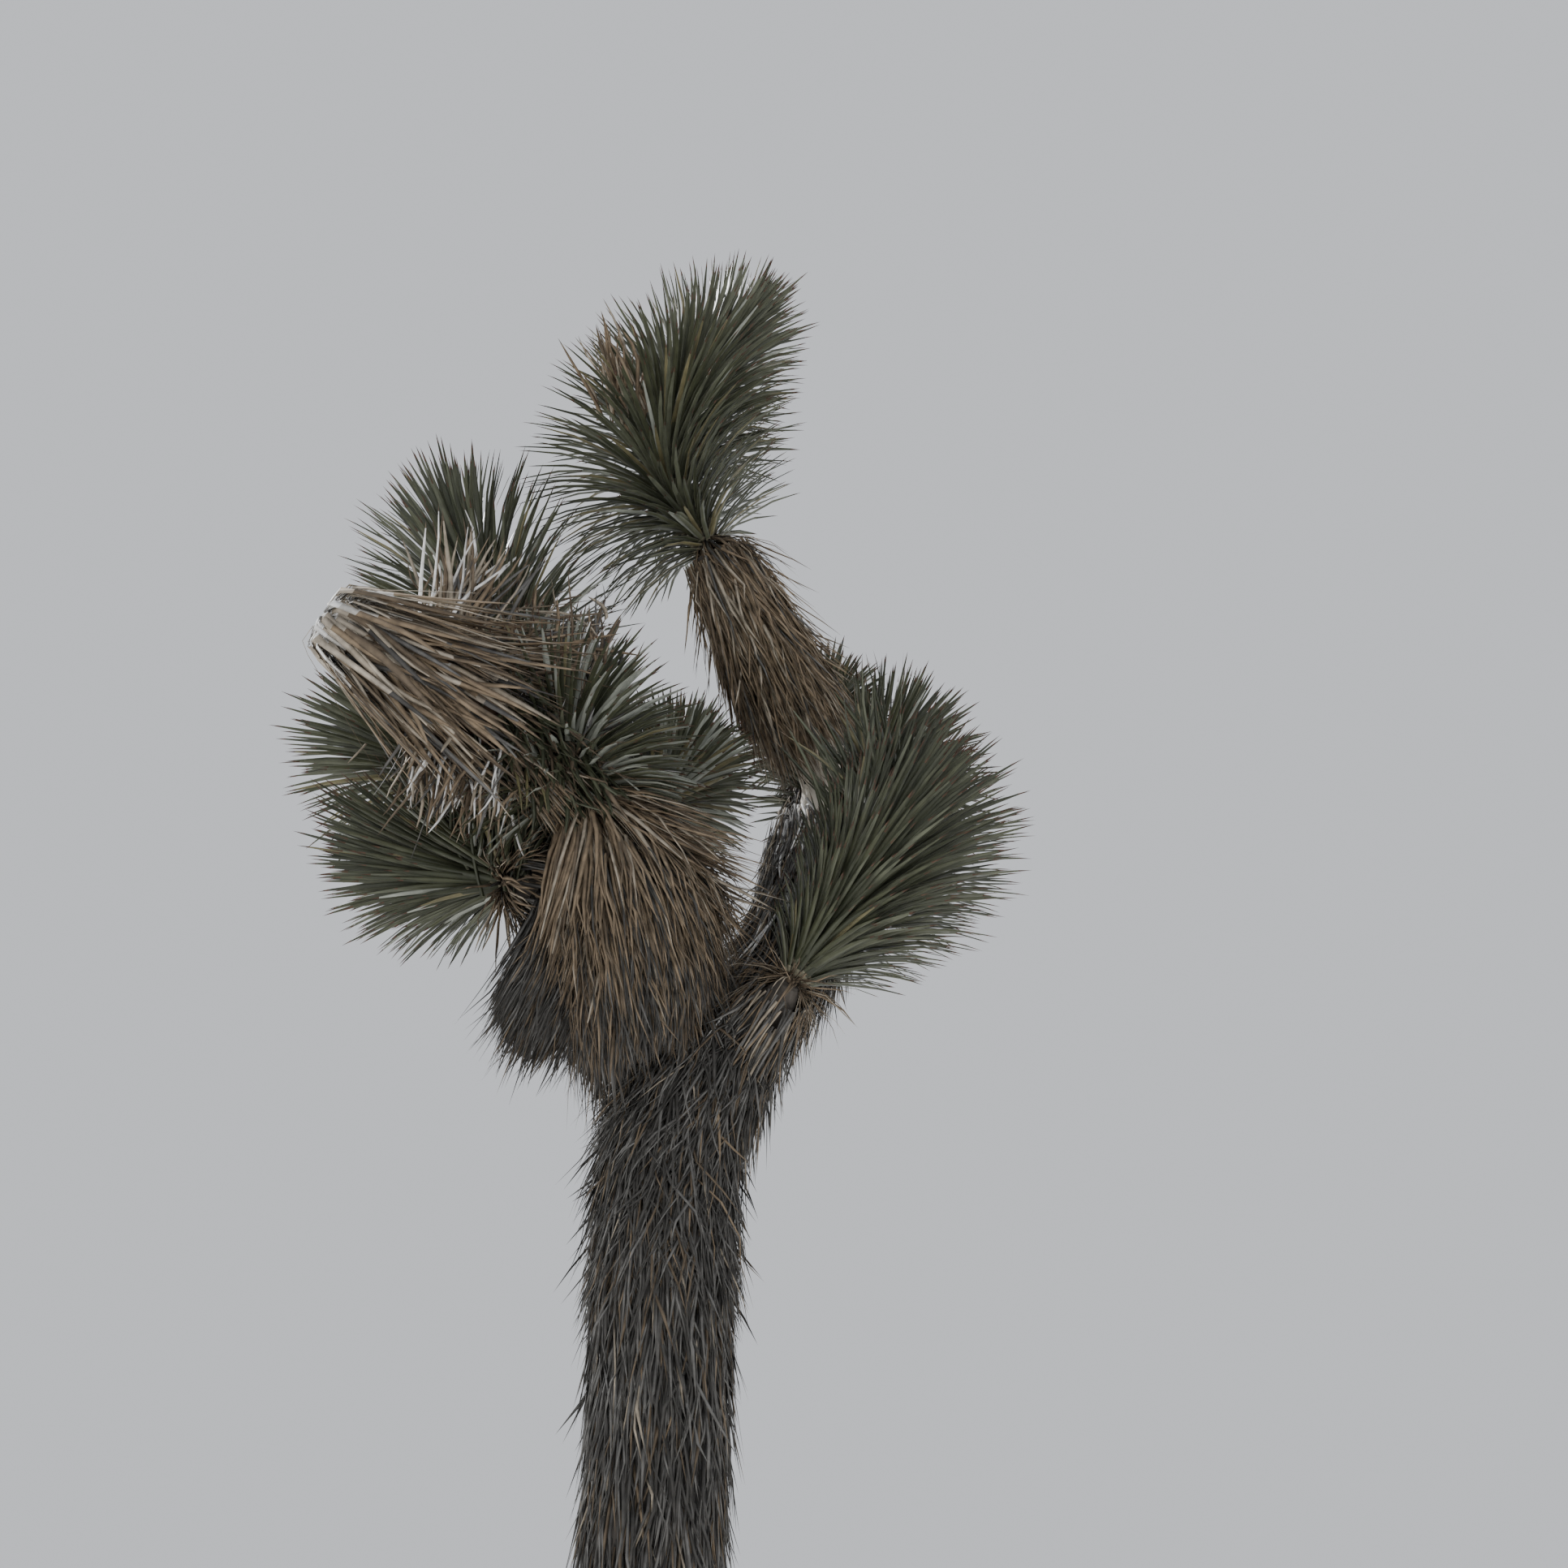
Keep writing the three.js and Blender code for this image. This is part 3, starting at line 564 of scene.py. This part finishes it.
for sort, (foot_end, pale_end, count) in enumerate(crown_sorts):
    strip_leaf = model_leaf("strip_leaf", 4, 0.13, 0.03, strip, foot_end=foot_end, pale_end=pale_end)
    order = np.linspace(0, 1, count)
    angle = np.arange(count) * golden + sort
    out = side * np.cos(angle)[:, None] + other * np.sin(angle)[:, None]
    skew = np.cross(reach, out) * rng.normal(0, 0.2, (count, 1))
    high = np.clip(-out @ (0.6 * side + 0.8 * other), 0, 1)
    spread = np.radians(rng.uniform(0, 20 + 11 * high, count))[:, None]
    start = turned(reach * rng.uniform(0.0, 0.8, (count, 1)) * (1 - order[:, None]) + out + skew)
    scatter = rng.normal(0, 0.055, (count, 3))
    finish = turned(-reach * np.cos(spread) + out * np.sin(spread) + scatter - 0.8 * skew)
    roots = tip - reach * (0.004 + 0.17 * order[:, None] ** 1.3) + out * 0.014
    picks = rng.choice(6, count, p=[0.08, 0.05, 0.28, 0.37, 0.22, 0.0])
    towards_viewer = np.clip(-out[:, 1], 0, 1)
    lengths = (0.36 + 0.07 * high) * (1 - 0.22 * towards_viewer) * rng.uniform(0.72, 1.0, count)
    widths = 0.012 * rng.uniform(0.6, 1.25, count)
    crown = leaves_mesh("dead_crown_leaves", strip_leaf, roots, start, finish, out, lengths, widths, picks,
                        straws + [chalk if sort == 2 else fawn, umber, bone],
                        turn=(0.0, 0.24), sag=0.06 * (1 - high), wave=0.11)
    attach(crown, "root")
    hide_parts("dead_crown")
stump_line = [tuple(tip - 0.02 * reach), tuple((tip + heel) / 2), tuple(heel)]
stump = model_limb("dead_crown_stump", stump_line, [0.022, 0.034, 0.032], 40, 8)
fissure(stump, 0.012, 70, 70)
pith = new_material("brown_pith", (0.2, 0.11, 0.06), 0.95)
weather(pith, (0.1, 0.06, 0.038), 90, (1, 1, 1), 0.5, 1.4, 0.004)
stump.data.materials.append(pith)
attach(stump, "root")


# The litter round the two upper left heads: bleached leaves, brittle and curled, that still stand upright
# between them, lean to the viewer's right, or hang below the dead crown. The green ones droop over the front
# skirt, rise behind it, or reach back from the right head over the bare elbow.
litters = {
    "standing": dict(
        count=110, root=(-0.385, -0.36, 3.79), reach=(-0.03, 0.06, 0.06), loose=(0.03, 0.02, 0.03),
        way=(0.12, 0.06, 1), lengths=(0.1, 0.27), width=0.0085, straw=[0.12, 0, 0.13, 0.3, 0.27, 0.18]),
    "leaning": dict(
        count=120, root=(-0.345, -0.31, 3.76), reach=(0.05, 0.02, 0.09), loose=(0.03, 0.03, 0.03),
        way=(1, 0.05, -0.02), lengths=(0.08, 0.19), width=0.0078, straw=[0.05, 0.05, 0.2, 0.4, 0.28, 0.02]),
    "upright": dict(
        count=150, root=(-0.24, -0.29, 3.68), reach=(0.05, 0.03, 0.14), loose=(0.05, 0.03, 0.05),
        way=(0.1, 0, 1), lengths=(0.06, 0.15), width=0.007, straw=[0.3, 0.2, 0.2, 0.1, 0.08, 0.12]),
    "in_the_top_head": dict(
        count=45, root=(-0.115, -0.25, 4.41), reach=(0.01, -0.02, 0.05), loose=(0.02, 0.02, 0.02),
        way=(-0.25, -0.5, 1), lengths=(0.08, 0.2), width=0.0085, straw=[0, 0, 0.2, 0.5, 0.3, 0]),
    "drooping": dict(
        count=300, root=(-0.275, -0.4, 3.63), reach=(0.13, 0.11, -0.08), loose=(0.025, 0.015, 0.02),
        way=(0.4, -0.05, -0.8), lengths=(0.07, 0.16), width=0.009, green=[0.4, 0.28, 0.12, 0.05, 0.03, 0.12]),
    "rising": dict(
        count=170, root=(-0.265, -0.2, 3.42), reach=(-0.08, 0.02, 0.02), loose=(0.02, 0.02, 0.02),
        way=(-0.12, -0.15, 1), lengths=(0.1, 0.24), width=0.0095, green=[0.26, 0.3, 0.2, 0.03, 0.17, 0.04]),
    "reaching": dict(
        count=120, root=(0.4, -0.13, 3.53), reach=(-0.03, -0.01, -0.07), loose=(0.012, 0.015, 0.02),
        way=(-0.32, -0.02, 1), lengths=(0.2, 0.34), width=0.0105, green=[0.38, 0.36, 0.22, 0.02, 0.02, 0]),
    "hanging": dict(
        count=130, root=(-0.43, -0.36, 3.56), reach=(0.15, 0.03, -0.03), loose=(0.03, 0.04, 0.02),
        way=(-0.16, -0.05, -1), lengths=(0.06, 0.15), width=0.0065, straw=[0.12, 0.06, 0.12, 0.2, 0.22, 0.28]),
}
for name, litter in litters.items():
    count = litter["count"]
    blades, mix = (greens + [umber], litter["green"]) if "green" in litter else (straws, litter["straw"])
    roots = np.array(litter["root"]) + np.array(litter["reach"]) * rng.random((count, 1))
    roots = roots + rng.normal(0, 1, (count, 3)) * litter["loose"]
    start = turned(litter["way"] + rng.normal(0, 0.2, (count, 3)))
    finish = turned(start + rng.normal(0, 0.22, (count, 3)))
    faced = turned(rng.normal(0, 0.5, (count, 3)) + (0.2, -1, 0.3))
    lengths = rng.uniform(*litter["lengths"], count)
    widths = litter["width"] * rng.uniform(0.6, 1.2, count)
    spray = leaves_mesh(name + "_litter", comb_leaf, roots, start, finish, faced, lengths, widths,
                        rng.choice(6, count, p=mix), blades + [sand, umber, sand], wave=0.18)
    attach(spray, "root")


# The growing stems inside the heads: short tapering shoots, closely ringed with the cream feet of leaves.
for name, head in heads.items():
    shoot_radii = [0.01] + [0.03] * (len(head["line"]) - 2) + [0.012]
    shoot = model_limb(name + "_shoot", head["line"], shoot_radii, 24, 6)
    fissure(shoot, 0.006, 60, 60)
    shoot.data.materials.append(umber)
    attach(shoot, "root")


# The skirts: leaves that died on the two left boughs and still hang from them in a bell. The youngest, at
# the top, arch out like combed hair. The inner ones are packed too close to see through, and every seventh
# is longer and hangs askew, so the hem is ragged.
# The packed body inside each skirt is coloured much darker than the straw it stands for: this is painted shade of
# the skirt's dense inside.
packed_shade = new_material("packed_straw_painted_shade", (0.07, 0.055, 0.042), 0.95)
weather(packed_shade, (0.06, 0.047, 0.037), 60, (1, 1, 0.25), 0.5, 1.3, 0.006)
skirts = {
    "skirt_front": dict(
        line=[(-0.104, -0.206, 3.48), (-0.07, -0.204, 3.35), (-0.05, -0.192, 3.235), (-0.056, -0.17, 3.145)],
        radii=[0.062, 0.104, 0.112, 0.09], count=7200, length=0.22, rise=(30, 60), lean=(0.05, 0, 0),
        kick=(0.1, 0, 0), short=0.5, young=[0, 0.14, 0.32, 0.47, 0.07, 0], old=[0.13, 0.57, 0.25, 0.05, 0, 0]),
    "skirt_left": dict(
        line=[(-0.204, -0.167, 3.395), (-0.196, -0.17, 3.3), (-0.19, -0.168, 3.2)],
        radii=[0.042, 0.066, 0.056], count=3800, length=0.19, rise=(10, 30), lean=(0.04, 0, 0),
        kick=(-0.6, 0, 0), short=0, young=[0.2, 0.67, 0.11, 0.02, 0, 0], old=[0.2, 0.67, 0.12, 0.01, 0, 0]),
}
for name, skirt in skirts.items():
    body = model_limb(name + "_packed", skirt["line"], [0.76 * r for r in skirt["radii"]], 60, 14)
    fissure(body, 0.03, 50, 12)
    body.data.materials.append(packed_shade)
    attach(body, "root")
    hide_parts(name)
    count = skirt["count"]
    share = rng.random(count) ** 0.8 * 0.96
    centre, tangent, out = line_frame(skirt["line"], share, rng.random(count) * 2 * math.pi)
    radius = read_along(skirt["radii"], share)
    youth = np.clip(1.15 - share / 0.75, 0, 1)
    young = youth[:, None]
    rise = rng.uniform(6, 26, (count, 1)) * (1 - young) + rng.uniform(*skirt["rise"], (count, 1)) * young
    rise = np.radians(rise)
    scatter, lean = rng.normal(0, 0.07, (count, 3)), np.array(skirt["lean"]) * (1 + 2 * young)
    start = turned(tangent * np.cos(rise) + out * np.sin(rise) + scatter + lean)
    shaggy = np.arange(count) % 7 == 0
    scatter = rng.normal(0, 1, (count, 3)) * np.where(shaggy, 0.22, 0.08)[:, None]
    finish = turned(tangent + out * (0.22 * young - 0.1) + np.array(skirt["kick"]) + (0, 0, -0.4) + scatter)
    fresh = rng.random(count) < youth
    picks = np.where(fresh, rng.choice(6, count, p=skirt["young"]), rng.choice(6, count, p=skirt["old"]))
    lengths = skirt["length"] * rng.uniform(0.6, 1.05, count) * (1 + 0.3 * youth) * (1 - 0.25 * share)
    lengths = lengths * np.where(shaggy, 1.4 - 0.4 * youth, 1)
    lengths = lengths * (1 - skirt["short"] * np.clip(out[:, 0] + 0.4, 0, 1) * (1 - youth))
    roots = centre + out * (radius * rng.uniform(0.5, 0.88, count))[:, None]
    widths = 0.006 * rng.uniform(0.7, 1.25, count) * (1 + 0.2 * youth)
    hair = leaves_mesh(name + "_leaves", thatch_leaf, roots, start, finish, out, lengths, widths, picks,
                       straws + [umber, umber, umber], turn=(0, 0.9), wave=0.1)
    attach(hair, "root")


# The combed fall: the newest dead leaves of the left bough part at its top and fall over the front skirt.
# sweep turns them from straight down, on the viewer's left, to an arc that ends level, on the right.
count = 1200
parting = (-0.16, -0.262, 3.525) + np.array((0.1, 0.05, -0.12)) * rng.random((count, 1)) ** 1.5
parting = parting + rng.normal(0, 0.013, (count, 3))
sweep = rng.uniform(-0.35, 1, (count, 1))
start = np.array((0.1, -0.42, -1.4)) + np.array((0.9, 0.15, 1.36)) * sweep
start = turned(start + rng.normal(0, 0.12, (count, 3)))
finish = np.array((-0.2, 0, -1)) + np.array((1.2, 0, 0.75)) * np.maximum(sweep, 0) ** 1.5
finish = turned(finish + rng.normal(0, 0.05, (count, 3)))
faced = turned(rng.normal(0, 0.35, (count, 3)) + (0.1, -0.8, 0.6))
lengths = 0.36 * rng.uniform(0.5, 1, count) * (1 - 0.2 * sweep[:, 0])
widths = 0.0076 * rng.uniform(0.7, 1.25, count)
picks = rng.choice(6, count, p=[0, 0, 0.16, 0.6, 0.24, 0])
comb = leaves_mesh("combed_fall", comb_leaf, parting, start, finish, faced, lengths, widths, picks,
                   straws + [umber, umber, sand], turn=(0, 0.85), wave=0.06)
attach(comb, "root")


# The stage: a plain pale floor at ground level, a pale sky that fills the shadows softly, and a clear key
# light from the upper left behind the crown.
bpy.ops.mesh.primitive_plane_add(size=60, location=(0, 0, -0.001))
floor = bpy.context.object
floor.name = "floor"
floor.data.materials.append(new_material("pale_floor", (0.75, 0.74, 0.72), 0.9))
world = bpy.data.worlds.new("pale_sky")
world.use_nodes = True
sky = world.node_tree.nodes["Background"]
sky.inputs["Color"].default_value = (0.78, 0.8, 0.84, 1)
sky.inputs["Strength"].default_value = 0.9
bpy.context.scene.world = world
bpy.ops.object.light_add(type="SUN", rotation=(math.radians(-28), math.radians(-34), 0))
sun = bpy.context.object
sun.data.energy = 4.5
sun.data.angle = math.radians(3)
